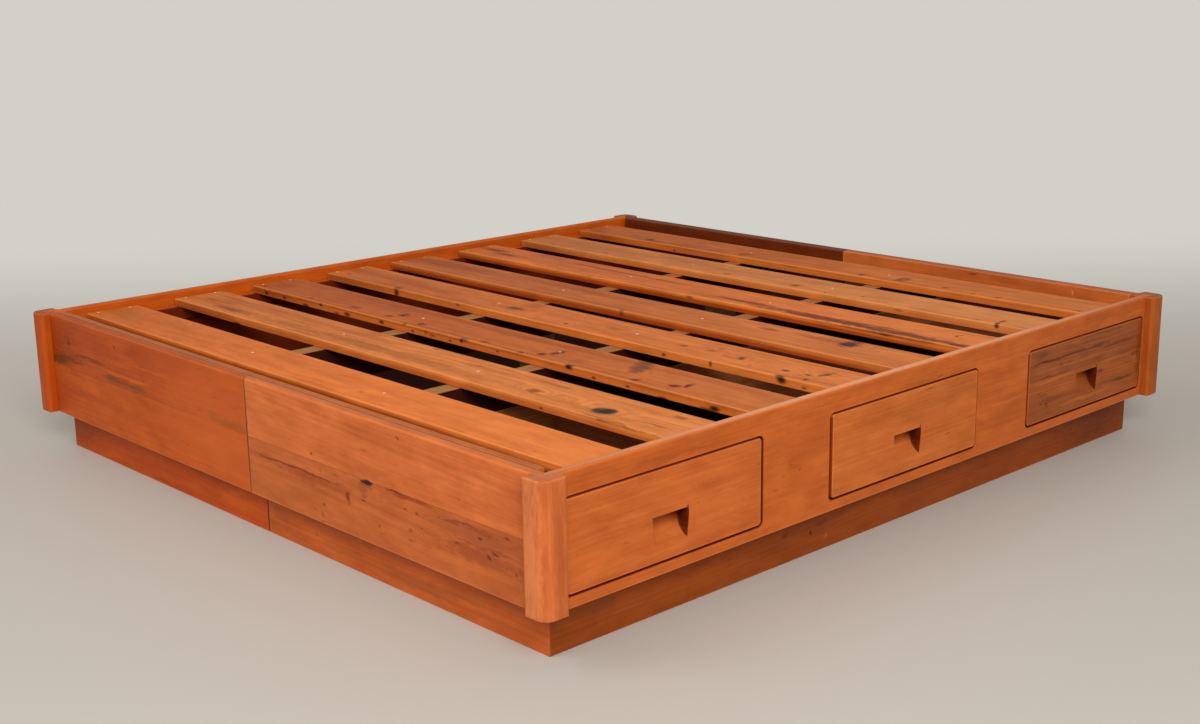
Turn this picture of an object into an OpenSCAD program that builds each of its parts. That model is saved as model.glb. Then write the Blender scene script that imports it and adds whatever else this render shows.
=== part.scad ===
// Tatami platform bed: a low redwood box frame on a recessed plinth, with L-section corner
// posts, eight slats screwed to ledgers and support rails, and three inset drawers on wooden
// runners along one side.
// Millimetres, Z up, origin on the floor at the middle of the bed. X runs across the bed and
// Y along it. The drawers open towards +X, and the foot end faces -Y.

/* [Overall] */
// Width over the two side rails
bed_w = 2016; // [1500:1:2300]
// Length over the two end panels
bed_l = 2160; // [1900:1:2400]
// Height of the rail tops above the floor
bed_h = 372; // [350:1:450]
// Thickness of the side rails
board_t = 38; // [32:1:50]
// Thickness of the end panels, and of the side rails' lips beside the mattress well
panel_t = 25; // [18:1:30]
// Radius of the rounded top edges of the rails and panels
edge_r = 7; // [2:0.5:12]
// Radius of the lightly eased bottom edges
ease_r = 2; // [1:0.5:4]
// Gap left at the butt joints in the middle of the end panels and plinth
butt_gap = 0.8; // [0.2:0.1:2]

/* [Plinth] */
// Height of the plinth boards, and of the rails' bottom edges above the floor
plinth_h = 103; // [60:1:140]
// Thickness of the plinth boards
plinth_t = 30; // [18:1:40]
// Set-back of the plinth from the outer faces of the rails and panels
plinth_inset = 40; // [38:1:120]

/* [Corner posts] */
// Thickness of the post outside the rails, and radius of its outer corner
post_t = 24.5; // [15:0.5:40]
// Width of each face of the post
post_face = 63; // [50:1:68]
// Radius of the post's free upright edges
post_edge_r = 11; // [2:0.5:14]
// Radius of the post's top and bottom edges
post_end_r = 4; // [1:0.5:8]

/* [Slats] */
// Depth of the mattress well, from the rail tops down to the slats
well_depth = 16; // [8:1:60]
// Width of a slat
slat_w = 149; // [90:1:180]
// Thickness of a slat
slat_t = 22; // [15:1:30]
// Radius of the eased edges of a slat
slat_edge_r = 3; // [1:0.5:6]
// Space between each end strip and the nearest slat
slat_end_space = 60; // [10:1:120]
// Gap between a slat's end and the line of the ledger's outer face
slat_rail_gap = 4; // [1:0.5:10]

/* [End strips] */
// Thickness of the strips that line the end panels above the ledgers
strip_t = 17; // [10:1:30]
// Gap between a strip's end and the side rail's lip
strip_gap = 21; // [1:1:30]

/* [Slat supports] */
// Width of the ledger strips on the side rails
ledger_w = 28; // [20:1:50]
// Height of the ledger strips
ledger_h = 34; // [26:1:50]
// Width of the two lengthwise support rails and their legs
support_w = 47; // [30:1:60]
// Height of the support rails
support_h = 90; // [50:1:110]
// Distance of the left support rail from the middle of the bed
support_left = 252; // [120:1:500]
// Length of each leg under the support rails
leg_l = 90; // [40:1:140]
// Distance of the outer legs from the end panels
leg_end_space = 300; // [60:1:600]

/* [Slat screws] */
// Radius of the screw shank
screw_r = 2; // [1.5:0.25:3]
// Radius of the countersunk screw head
screw_head_r = 4.6; // [3.5:0.1:6]
// Length of a screw
screw_l = 42; // [36:1:50]
// Distance of the two end screws from the middle of a slat
screw_side = 46; // [20:1:60]

/* [Deck] */
// Thickness of the deck panels that lie on the plinth
deck_t = 16; // [9:1:20]

/* [Drawer openings] */
// Width of a drawer opening in the side rail
opening_w = 548; // [400:1:570]
// Radius of the opening's corners
opening_r = 14; // [11:0.5:16]
// Wood left below the opening
sill_h = 23; // [22:1:40]
// Wood left above the opening
lintel_h = 49; // [44:1:70]
// Wood left between the end of the rail and the first opening
end_stile = 46; // [44:1:90]

/* [Drawers] */
// Gap above and below the inset drawer front
front_gap = 4.5; // [1.5:0.5:5]
// Gap at each side of a drawer front that sits in the middle of its opening
front_side_gap = 6; // [5.5:0.5:8]
// Thickness of the drawer front
front_t = 37; // [30:1:50]
// Radius of the drawer front's eased face edges
front_edge_r = 2.5; // [1:0.5:5]
// Distance of the drawer box sides from the edges of the opening
box_side_gap = 15; // [14:0.5:25]
// Thickness of the drawer sides and back
box_t = 15; // [12:1:20]
// Length of the drawer box behind the front
box_l = 600; // [450:1:640]
// Thickness of the drawer bottom
bottom_t = 6; // [4:0.5:9]
// Height of the drawer bottom above the lower edge of the sides
bottom_up = 10; // [6:1:20]
// Depth that the sides are let into the front
side_housing = 8; // [4:1:12]
// Depth that the back and the bottom are let into the sides
groove_d = 6; // [3:1:8]
// Distance of the drawer back from the rear ends of the sides
back_inset = 12; // [4:1:30]

/* [Drawer pulls] */
// Width of the scooped pull at its top
pull_w = 101; // [60:1:140]
// Width of the scooped pull at its bottom
pull_low_w = 90; // [50:1:130]
// Height of the scooped pull
pull_h = 60; // [40:1:70]
// Depth of the scoop at its deepest
pull_depth = 28; // [12:1:28]
// Radius of the round cutter that makes the scoop
pull_cutter_r = 63; // [60:1:90]
// Offset of the pull from the middle of the opening, towards the head
pull_offset = 4; // [-60:1:60]

/* [Drawer runners] */
// Running gap between the drawer sides and the strips they slide on
run_gap = 0.3; // [0.2:0.1:1]
// Gap between the drawer sides and the guide boards
guide_gap = 1; // [0.5:0.1:3]
// Thickness of the guide boards
guide_t = 15; // [9:1:18]
// Width of the runner strips
runner_w = 24; // [16:1:40]
// Width of the kicker strips that stop the drawer from tipping
kicker_w = 14; // [8:1:15]
// Thickness of the kicker strips
kicker_t = 12; // [8:1:20]
// Gap between the drawer sides and the kicker strips
kicker_gap = 1; // [0.5:0.1:3]
// Space between the closed drawers and the right support rail
back_space = 64; // [20:1:120]

/* [Splice blocks] */
// Width of the blocks that back the butt joints
splice_w = 140; // [80:1:240]
// Thickness of the blocks
splice_t = 22; // [12:1:30]
// Height of the block behind an end panel's joint
splice_h = 150; // [80:1:160]

/* [Hidden] */
$fn = 48;

// Overcut that keeps two faces from meeting in a cut
over = 1;
// Colours of the timber, by where it was cut
redwood = "#C8683A";
redwood_light = "#D98048";
redwood_dark = "#8E4A28";
inner_pine = "#B88A5A";
deck_brown = "#4A3020";
screw_steel = "#D8CDB8";

// Frame
half_w = bed_w / 2;
half_l = bed_l / 2;
inner_x = half_w - board_t;
inner_y = half_l - panel_t;
lip_x = half_w - panel_t;
rail_h = bed_h - plinth_h;
post_cover = post_face - post_t;

// Slats: the count of a full set, and how far each one was screwed down from even spacing
slat_count = 8;
slat_drift = [0, 5, -3, -3, -26, -19, -12, -8];
slat_top = bed_h - well_depth;
slat_base = slat_top - slat_t;
slat_l = 2 * (inner_x - slat_rail_gap);
strip_y = inner_y - strip_t;
strip_end = lip_x - strip_gap;
slat_pitch = (2 * (strip_y - slat_end_space) - slat_w) / (slat_count - 1);
function slat_y(i) = -strip_y + slat_end_space + slat_w / 2 + i * slat_pitch + slat_drift[i];

// Drawer openings, from the foot to the head
bay_count = 3;
opening_z = plinth_h + sill_h;
opening_h = rail_h - sill_h - lintel_h;
bay_pitch = (bed_l - 2 * end_stile - opening_w) / (bay_count - 1);
function bay_y(i) = (i - (bay_count - 1) / 2) * bay_pitch;

// Drawer box, and how far off the middle of its opening each front was fixed, towards the head
front_drift = [0, 5, 2.5];
deck_top = plinth_h + deck_t;
ledger_z = slat_base - ledger_h;
kicker_z = ledger_z - kicker_t;
front_z = opening_z + front_gap;
front_h = opening_h - 2 * front_gap;
front_w = opening_w - 2 * front_side_gap;
front_corner_r = opening_r - front_gap;
front_back_x = half_w - front_t;
box_z = front_z;
box_top = min(kicker_z - kicker_gap, opening_z + opening_h - front_gap);
box_h = box_top - box_z;
box_half = opening_w / 2 - box_side_gap;
box_rear_x = front_back_x - box_l;
groove_fit = 0.2;
guide_face = box_half + guide_gap;
support_right = box_rear_x - back_space - support_w / 2;

// Pull: its top edge lies at the middle of the front
pull_top = front_z + front_h / 2;
pull_axis_x = pull_cutter_r - pull_depth;
pull_axis_z = pull_top - pull_h + sqrt(pow(pull_cutter_r, 2) - pow(pull_axis_x, 2));

// Screws: fit in their holes, and how far the heads lie below the slat's face
screw_fit = 0.1;
head_sink = 0.4;
head_h = screw_head_r - screw_r;

// ---------- Shared shapes ----------

// Corner waste outside a quarter circle, with the corner at the origin
module corner_waste(r) {
    translate([-r, -r]) difference() {
        square(r + over);
        circle(r);
    }
}

// Board section from (0, 0) to (w, h), with a radius at each corner: lower left, lower right,
// upper right and upper left
module section(w, h, r) {
    difference() {
        square([w, h]);
        rotate(180) corner_waste(r[0]);
        translate([w, 0]) rotate(-90) corner_waste(r[1]);
        translate([w, h]) corner_waste(r[2]);
        translate([0, h]) rotate(90) corner_waste(r[3]);
    }
}

// Extrudes a section of (across, up) along the bed, centred on Y
module along_y(l) {
    translate([0, l / 2, 0]) rotate([90, 0, 0]) linear_extrude(l) children();
}

// Extrudes a section of (depth, up) across the bed, from X = 0
module along_x(l) {
    rotate([90, 0, 90]) linear_extrude(l) children();
}

// Swaps X and Y, or with s = -1 swaps and reverses both, by exact right-angle turns
module swap_xy(s = 1) {
    rotate([0, 0, s * 90]) mirror([0, 1, 0]) children();
}

// Waste past a mitre from the inner corner at the origin to the outer corner at (t, t)
module mitre_waste(t, h) {
    translate([0, 0, -over]) linear_extrude(h + 2 * over)
        polygon([[-over, -over], [t + over, t + over], [-over, t + over]]);
}

// A frame board across one half of an end, from the middle joint to the mitred corner. Its
// inner face is at Y = 0 and its middle joint at X = 0.
module half_board(inner_half, t, h, r_top_in, r_base) {
    difference() {
        translate([butt_gap / 2, 0, 0]) along_x(inner_half + t - butt_gap / 2)
            section(t, h, [r_base, r_base, 0, r_top_in]);
        translate([inner_half, 0, 0]) swap_xy() mitre_waste(t, h);
    }
}

// Slim plate in XY, rounded in plan, with its upper edge eased
module eased_plate(w, h, t, r, e) {
    for (sx = [-1, 1], sy = [-1, 1]) translate([sx * (w / 2 - r), sy * (h / 2 - r), 0])
        rotate_extrude() section(r, t, [0, 0, e, 0]);
    translate([-w / 2 + r, 0, 0]) along_x(w - 2 * r) translate([-h / 2, 0])
        section(h, t, [0, 0, e, e]);
    along_y(h - 2 * r) translate([-w / 2, 0]) section(w, t, [0, 0, e, e]);
}

// ---------- Box frame ----------

// Rail with a rebate along its inner top edge, level with the ledgers, that leaves a lip as
// thick as the end panels
module rail_blank() {
    lip_in = board_t - panel_t;
    difference() {
        along_y(bed_l) difference() {
            section(board_t, rail_h, [ease_r, ease_r, 0, 0]);
            translate([-over, slat_base - plinth_h]) square([lip_in + over, rail_h]);
            translate([lip_in, rail_h]) rotate(90) corner_waste(edge_r);
        }
        along_y(bed_l - 2 * post_cover) translate([board_t, rail_h]) corner_waste(edge_r);
        for (s = [0, 1]) mirror([0, s, 0]) translate([0, inner_y, -over])
            linear_extrude(rail_h + 2 * over) polygon([[-over, 0], [lip_in, 0],
                [board_t + over, panel_t + over], [-over, panel_t + over]]);
    }
}

module drawer_opening() {
    translate([-over, -opening_w / 2, sill_h]) along_x(board_t + 2 * over)
        section(opening_w, opening_h, [opening_r, opening_r, opening_r, opening_r]);
}

module side_rail_right() {
    color(redwood) translate([inner_x, 0, plinth_h]) difference() {
        rail_blank();
        for (i = [0 : bay_count - 1]) translate([0, bay_y(i), 0]) drawer_opening();
    }
}

module side_rail_left() {
    color(redwood) mirror([1, 0, 0]) translate([inner_x, 0, plinth_h]) rail_blank();
}

// End panel half: side 0 is right, 1 is left; end 0 is the head, 1 is the foot
module panel_half(side, end) {
    color(redwood) mirror([side, 0, 0]) mirror([0, end, 0]) translate([0, inner_y, plinth_h])
        difference() {
            half_board(lip_x, panel_t, rail_h, edge_r, ease_r);
            along_x(half_w - post_cover) translate([panel_t, rail_h]) corner_waste(edge_r);
        }
}

// Strip that lines an end panel from the ledger tops to its own top: x from and to
module end_strip(from, to, end) {
    color(end > 0 ? redwood_light : redwood) mirror([0, end, 0])
        translate([from, strip_y, slat_base]) along_x(to - from)
        section(strip_t, bed_h - slat_base, [0, 0, 0, ease_r]);
}

// One arm of a corner post, lying along -X from the rail's corner, outside the face at Y = 0
module post_arm() {
    mirror([1, 0, 0]) intersection() {
        translate([0, -post_t, 0]) linear_extrude(rail_h)
            section(post_cover, post_t, [0, post_edge_r, 0, 0]);
        translate([0, -post_t, 0]) along_x(post_cover)
            section(post_t, rail_h, [post_end_r, 0, 0, post_end_r]);
        translate([0, -post_t / 2, 0]) along_y(post_t)
            section(post_cover, rail_h, [0, post_end_r, post_end_r, 0]);
    }
}

module corner_post(side, end) {
    color(redwood_light) mirror([side, 0, 0]) mirror([0, end, 0])
        translate([half_w, -half_l, plinth_h]) {
            post_arm();
            swap_xy(-1) post_arm();
            rotate([0, 0, -90]) rotate_extrude(angle = 90)
                section(post_t, rail_h, [0, post_end_r, post_end_r, 0]);
        }
}

// ---------- Plinth and deck ----------

module plinth_side(side) {
    color(redwood_dark) mirror([side, 0, 0])
        translate([half_w - plinth_inset - plinth_t, 0, 0]) difference() {
            along_y(2 * (half_l - plinth_inset))
                section(plinth_t, plinth_h, [0, ease_r, 0, 0]);
            for (s = [0, 1]) mirror([0, s, 0])
                translate([0, half_l - plinth_inset - plinth_t, 0])
                mitre_waste(plinth_t, plinth_h);
        }
}

module plinth_half(side, end) {
    color(redwood_dark) mirror([side, 0, 0]) mirror([0, end, 0])
        translate([0, half_l - plinth_inset - plinth_t, 0]) difference() {
            translate([butt_gap / 2, 0, 0])
                along_x(half_w - plinth_inset - butt_gap / 2)
                section(plinth_t, plinth_h, [0, ease_r, 0, 0]);
            translate([half_w - plinth_inset - plinth_t, 0, 0]) swap_xy()
                mitre_waste(plinth_t, plinth_h);
        }
}

// Blocks glued behind the butt joints of the end panels, standing on the deck
module panel_splices() {
    color(inner_pine) for (s = [0, 1]) mirror([0, s, 0])
        translate([-splice_w / 2, inner_y - splice_t, deck_top])
        cube([splice_w, splice_t, splice_h]);
}

// Blocks behind the butt joints of the plinth
module plinth_splices() {
    color(inner_pine) for (s = [0, 1]) mirror([0, s, 0])
        translate([-splice_w / 2, half_l - plinth_inset - plinth_t - splice_t, 0])
        cube([splice_w, splice_t, plinth_h]);
}

// Half of the deck: end 0 is the head, 1 is the foot
module deck_half(end) {
    color(deck_brown) mirror([0, end, 0]) translate([-inner_x, butt_gap / 2, plinth_h])
        cube([2 * inner_x, inner_y - butt_gap / 2, deck_t]);
}

// ---------- Slats and what carries them ----------

// Screw hole down from the slat's face
module screw_hole(depth) {
    translate([0, 0, slat_top - depth]) cylinder(h = depth + over, r = screw_r + screw_fit);
}

module screw_sink() {
    translate([0, 0, slat_top - head_sink - head_h - screw_fit])
        cylinder(h = head_h, r1 = screw_r + screw_fit, r2 = screw_head_r + screw_fit);
    translate([0, 0, slat_top - head_sink - screw_fit])
        cylinder(h = head_sink + screw_fit + over, r = screw_head_r + screw_fit);
}

// Screws of a slat into the ledger on one side: 1 is right, -1 is left
module at_ledger_screws(i, side) {
    for (s = [-1, 1])
        translate([side * (inner_x - ledger_w / 2), slat_y(i) + s * screw_side, 0]) children();
}

// Screw of a slat into a support rail
module at_support_screw(i, x) {
    translate([x, slat_y(i), 0]) children();
}

module at_slat_screws(i) {
    at_ledger_screws(i, 1) children();
    at_ledger_screws(i, -1) children();
    at_support_screw(i, support_right) children();
    at_support_screw(i, -support_left) children();
}

module slat(i) {
    color(redwood_light) difference() {
        intersection() {
            translate([-slat_l / 2, slat_y(i) - slat_w / 2, slat_base]) along_x(slat_l)
                section(slat_w, slat_t,
                    [slat_edge_r, slat_edge_r, slat_edge_r, slat_edge_r]);
            translate([-slat_l / 2, slat_y(i), slat_base]) along_y(slat_w)
                section(slat_l, slat_t,
                    [slat_edge_r, slat_edge_r, slat_edge_r, slat_edge_r]);
        }
        at_slat_screws(i) {
            screw_hole(slat_t + well_depth);
            screw_sink();
        }
    }
}

module slat_screw() {
    translate([0, 0, slat_top - head_sink - head_h])
        cylinder(h = head_h, r1 = screw_r, r2 = screw_head_r);
    translate([0, 0, slat_top - head_sink - screw_l])
        cylinder(h = screw_l - head_h / 2, r = screw_r);
}

module slat_screws() {
    color(screw_steel) for (i = [0 : slat_count - 1]) at_slat_screws(i) slat_screw();
}

module ledger(side) {
    color(redwood) difference() {
        translate([side > 0 ? inner_x - ledger_w : -inner_x, -inner_y, ledger_z])
            cube([ledger_w, 2 * inner_y, ledger_h]);
        for (i = [0 : slat_count - 1]) at_ledger_screws(i, side) screw_hole(screw_l + over);
    }
}

module support_rail(x) {
    color(inner_pine) difference() {
        translate([x - support_w / 2, -inner_y, slat_base - support_h])
            cube([support_w, 2 * inner_y, support_h]);
        for (i = [0 : slat_count - 1]) at_support_screw(i, x) screw_hole(screw_l + over);
    }
}

module support_legs() {
    leg_y = inner_y - leg_end_space;
    color(inner_pine) for (x = [support_right, -support_left], y = [-leg_y, 0, leg_y])
        translate([x - support_w / 2, y - leg_l / 2, deck_top])
        cube([support_w, leg_l, slat_base - support_h - deck_top]);
}

// ---------- Drawer guides ----------

guide_x = support_right + support_w / 2;
guide_l = inner_x - guide_x;

// Upright board beside a drawer: side 1 is towards the head, -1 towards the foot
module guide(i, side) {
    color(inner_pine)
        translate([guide_x, bay_y(i) + (side > 0 ? guide_face : -guide_face - guide_t), deck_top])
        cube([guide_l, guide_t, ledger_z - deck_top]);
}

// Strip along the inner face of each guide board
module guide_strips(w, z, h) {
    for (i = [0 : bay_count - 1], side = [-1, 1])
        translate([guide_x, bay_y(i) + (side > 0 ? guide_face - w : -guide_face), z])
        cube([guide_l, w, h]);
}

module drawer_runners() {
    color(inner_pine) guide_strips(runner_w, deck_top, box_z - run_gap - deck_top);
}

module drawer_kickers() {
    color(inner_pine) guide_strips(kicker_w, kicker_z, kicker_t);
}

// ---------- Drawers ----------

// Scooped finger pull, cut by a round cutter between two sloping cheeks
module pull_scoop() {
    intersection() {
        translate([half_w + pull_axis_x, 0, pull_axis_z]) rotate([90, 0, 0])
            cylinder(h = pull_w + 2 * over, r = pull_cutter_r, center = true, $fn = 96);
        translate([half_w - pull_cutter_r, 0, pull_top]) rotate([90, 0, 90])
            linear_extrude(2 * pull_cutter_r)
            polygon([[-pull_w / 2, 0], [pull_w / 2, 0],
                [pull_low_w / 2, -pull_h], [-pull_low_w / 2, -pull_h]]);
    }
}

// Housing in the front for one drawer side
module side_pocket(side) {
    translate([front_back_x - over, side > 0 ? box_half - box_t : -box_half, box_z - over])
        cube([side_housing + over, box_t, box_h + over + groove_fit]);
}

// Groove for the drawer bottom, from one end of the box to the other
module bottom_groove() {
    translate([box_rear_x - over, -box_half + box_t - groove_d, box_z + bottom_up])
        cube([box_l + groove_d + over, 2 * (box_half - box_t + groove_d), bottom_t + groove_fit]);
}

module drawer_front(i) {
    color(i < bay_count - 1 ? redwood : redwood_dark) translate([0, bay_y(i), 0]) difference() {
        translate([front_back_x, front_drift[i], front_z + front_h / 2]) rotate([90, 0, 90])
            eased_plate(front_w, front_h, front_t, front_corner_r, front_edge_r);
        translate([0, pull_offset, 0]) pull_scoop();
        side_pocket(1);
        side_pocket(-1);
        bottom_groove();
    }
}

module drawer_side(i, side) {
    color(inner_pine) translate([0, bay_y(i), 0]) difference() {
        translate([box_rear_x, side > 0 ? box_half - box_t : -box_half, box_z])
            cube([box_l + side_housing, box_t, box_h]);
        bottom_groove();
        translate([box_rear_x + back_inset, -box_half + box_t - groove_d, box_z - over])
            cube([box_t, 2 * (box_half - box_t + groove_d), box_h + 2 * over]);
    }
}

module drawer_back(i) {
    back_z = box_z + bottom_up + bottom_t + groove_fit;
    color(inner_pine)
        translate([box_rear_x + back_inset, bay_y(i) - box_half + box_t - groove_d, back_z])
        cube([box_t, 2 * (box_half - box_t + groove_d), box_top - back_z]);
}

module drawer_bottom(i) {
    half = box_half - box_t + groove_d - over;
    color(inner_pine) translate([box_rear_x + over, bay_y(i) - half, box_z + bottom_up])
        cube([box_l + groove_d - 2 * over, 2 * half, bottom_t]);
}

// ---------- Pieces ----------

side_rail_right();
side_rail_left();
panel_half(1, 1);  // foot_panel_left
panel_half(0, 1);  // foot_panel_right
panel_half(1, 0);  // head_panel_left
panel_half(0, 0);  // head_panel_right
corner_post(0, 0);  // post_foot_right
corner_post(1, 0);  // post_foot_left
corner_post(0, 1);  // post_head_right
corner_post(1, 1);  // post_head_left
plinth_side(0);  // plinth_side_right
plinth_side(1);  // plinth_side_left
plinth_half(1, 1);  // plinth_foot_left
plinth_half(0, 1);  // plinth_foot_right
plinth_half(1, 0);  // plinth_head_left
plinth_half(0, 0);  // plinth_head_right
end_strip(-strip_end, strip_end, 1);  // foot_strip
end_strip(-strip_end, -butt_gap / 2, 0);  // head_strip_left
end_strip(butt_gap / 2, strip_end, 0);  // head_strip_right
panel_splices();
plinth_splices();
deck_half(1);  // deck_foot
deck_half(0);  // deck_head
ledger(1);  // ledger_right
ledger(-1);  // ledger_left
support_rail(support_right);  // support_rail_right
support_rail(-support_left);  // support_rail_left
support_legs();
slat(0);  // slat_1
slat(1);  // slat_2
slat(2);  // slat_3
slat(3);  // slat_4
slat(4);  // slat_5
slat(5);  // slat_6
slat(6);  // slat_7
slat(7);  // slat_8
slat_screws();
guide(0, -1);  // guide_1_foot
guide(0, 1);  // guide_1_head
guide(1, -1);  // guide_2_foot
guide(1, 1);  // guide_2_head
guide(2, -1);  // guide_3_foot
guide(2, 1);  // guide_3_head
drawer_runners();
drawer_kickers();
drawer_front(0);  // drawer_1_front
drawer_side(0, -1);  // drawer_1_side_foot
drawer_side(0, 1);  // drawer_1_side_head
drawer_back(0);  // drawer_1_back
drawer_bottom(0);  // drawer_1_bottom
drawer_front(1);  // drawer_2_front
drawer_side(1, -1);  // drawer_2_side_foot
drawer_side(1, 1);  // drawer_2_side_head
drawer_back(1);  // drawer_2_back
drawer_bottom(1);  // drawer_2_bottom
drawer_front(2);  // drawer_3_front
drawer_side(2, -1);  // drawer_3_side_foot
drawer_side(2, 1);  // drawer_3_side_head
drawer_back(2);  // drawer_3_back
drawer_bottom(2);  // drawer_3_bottom
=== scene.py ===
"""Tatami platform bed in oiled redwood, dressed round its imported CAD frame."""

import math

import bpy
from mathutils import Matrix, Vector


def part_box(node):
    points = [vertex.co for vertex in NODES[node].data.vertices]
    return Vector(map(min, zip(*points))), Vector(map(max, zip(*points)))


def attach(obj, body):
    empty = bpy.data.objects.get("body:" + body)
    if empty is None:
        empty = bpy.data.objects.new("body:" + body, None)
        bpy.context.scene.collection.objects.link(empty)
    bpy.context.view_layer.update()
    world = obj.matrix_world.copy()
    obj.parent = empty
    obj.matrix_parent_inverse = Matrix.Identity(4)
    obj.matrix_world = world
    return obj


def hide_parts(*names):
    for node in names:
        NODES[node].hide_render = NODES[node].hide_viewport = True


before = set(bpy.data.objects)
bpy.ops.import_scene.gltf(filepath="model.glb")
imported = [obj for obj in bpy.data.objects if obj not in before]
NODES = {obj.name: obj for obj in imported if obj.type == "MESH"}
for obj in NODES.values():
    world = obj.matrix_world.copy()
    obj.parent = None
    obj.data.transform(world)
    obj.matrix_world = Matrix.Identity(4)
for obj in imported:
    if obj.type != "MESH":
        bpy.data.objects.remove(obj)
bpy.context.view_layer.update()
bpy.ops.object.select_all(action="DESELECT")

MM = 0.001
# Heights of the slats' undersides, their tops and the rail tops, in mm
SLAT_BASE, SLAT_TOP, RAIL_TOP = 334, 356, 372


# ---------- Camera ----------

# The photograph's viewpoint, found from the bed's corners: azimuth from the foot end towards
# the drawer side, elevation and roll in degrees, and the camera's place in millimetres.
AZIMUTH, ELEVATION, ROLL = 46.94, 14.18, -0.85
CAMERA_MM = (3082, -2876, 1275)
LENS_MM, SENSOR_MM = 48.57, 36.0


def place_camera():
    """The photograph's camera, built from its own right, up and backward directions."""
    az, el, roll = (math.radians(a) for a in (AZIMUTH, ELEVATION, ROLL))
    back = Vector((math.sin(az) * math.cos(el), -math.cos(az) * math.cos(el), math.sin(el)))
    level = Vector((math.cos(az), math.sin(az), 0))
    up = back.cross(level)
    right = math.cos(roll) * level + math.sin(roll) * up
    up = math.cos(roll) * up - math.sin(roll) * level
    bpy.ops.object.camera_add(location=Vector(CAMERA_MM) * MM)
    camera = bpy.context.object
    camera.name = "camera"
    camera.rotation_euler = Matrix((right, up, back)).transposed().to_euler()
    camera.data.lens = LENS_MM
    camera.data.sensor_width = SENSOR_MM
    camera.data.clip_end = 400
    bpy.context.scene.camera = camera


# ---------- Nodes and colours ----------


def srgb(code, times=(1, 1, 1)):
    """An sRGB hex colour as the linear colour that the shaders take, each part multiplied."""
    parts = [int(code[i : i + 2], 16) / 255 for i in (1, 3, 5)]
    parts = [p / 12.92 if p <= 0.04045 else ((p + 0.055) / 1.055) ** 2.4 for p in parts]
    return [min(p * t, 1) for p, t in zip(parts, times)] + [1]


def add(tree, kind, links=(), inputs=None, **settings):
    """Adds a node with its properties and input values, and links its inputs to the outputs
    given in (input, output) pairs. Returns the node's first output, or the node if it has none."""
    node = tree.nodes.new("ShaderNode" + kind)
    for name, value in settings.items():
        setattr(node, name, value)
    for key, value in (inputs or {}).items():
        node.inputs[key].default_value = value
    for key, output in links:
        tree.links.new(output, node.inputs[key])
    shown = [output for output in node.outputs if output.enabled]
    return shown[0] if shown else node


def new_material(name):
    """A material with an empty node tree, and the tree."""
    material = bpy.data.materials.new(name)
    material.use_nodes = True
    material.node_tree.nodes.clear()
    return material, material.node_tree


def give(node, material):
    """Makes a material the only one of a CAD node."""
    data = NODES[node].data
    data.materials.clear()
    data.materials.append(material)


# ---------- Redwood ----------

AXES = "xyz"
# Turns that bring a board's length from local Z to the bed's X, Y or Z
GRAIN = {"x": (0, math.pi / 2, 0), "y": (-math.pi / 2, 0, 0), "z": (0, 0, 0)}
# Painted shade for wood that lies where no light reaches, and the glue between two boards
PAINTED_SHADE, GLUE = "#350D04", "#3A1608"
# Early and late wood of a year's ring, against the base colour
EARLY = (1.14, 1.16, 1.18)
LATE = (0.72, 0.60, 0.46)
# How strongly oil blotches and the line of glue show, and half the line's width in mm
BLOTCHED, GLUED, GLUE_HALF = 0.35, 0.45, 0.6
# The smoothest and the roughest of the oiled surface
SMOOTH, ROUGH = 0.39, 0.52
# The values that most of a noise lies between, and those between which a streak comes in
NOISE_LOW, NOISE_HIGH = 0.3, 0.7
STREAK_LOW, STREAK_HIGH = 0.48, 0.72
# How far marks are bent, in mm
BENT = 6
# Cells per metre of each pattern: rings wander over 91 mm, streaks are 53 mm wide and oil
# blotches 38 mm, marks are bent over 17 mm and torn over 4.2 mm, and fibres lie 2.4 mm apart,
# which is as coarse as they have to be to show
WANDER, STREAK, BLOTCH, BEND, TEAR, FIBRE = 11, 19, 26, 60, 240, 420
# How much each pattern is drawn out along the board: its change along it against across it
RING_DRAWN, FIBRE_DRAWN, BLOTCH_DRAWN, MARK_DRAWN = 0.09, 0.02, 0.33, 0.22
# The grain's flow round a knot, against the knot's radius: its reach across the board, how
# much further it reaches along the board, and how far it moves the rings
KNOT_REACH, KNOT_DRAWN, KNOT_PUSH = 2.6, 2.2, 1.1
# How far away in the log, in metres, the board past a glue line was cut
OTHER_CUT = (0.11, 0.06, 0.83)


def marked(tree, tone, place, marks, ragged=None):
    """Lays knots, streaks, stains and painted shade and light over a tone. Each mark is a soft
    ellipsoid: its middle and its half sizes in mm, its colour, its strength, and how much of it
    is solid. The noise ragged breaks its outline."""
    for centre, size, colour, strength, *core in marks:
        near = add(tree, "Mapping", [("Vector", place)], vector_type="TEXTURE",
                   inputs={"Location": Vector(centre) * MM, "Scale": Vector(size) * MM})
        far = add(tree, "VectorMath", [(0, near)], operation="LENGTH").node.outputs["Value"]
        if ragged:
            far = add(tree, "Math", [(0, far), (1, ragged)], operation="ADD")
        mask = add(tree, "MapRange", [("Value", far)], interpolation_type="SMOOTHSTEP",
                   inputs={"From Min": core[0] if core else 0.2, "From Max": 1,
                           "To Min": strength, "To Max": 0})
        tone = add(tree, "Mix", [("Factor", mask), (6, tone)], data_type="RGBA",
                   inputs={7: srgb(colour)})
    return tone


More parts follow.
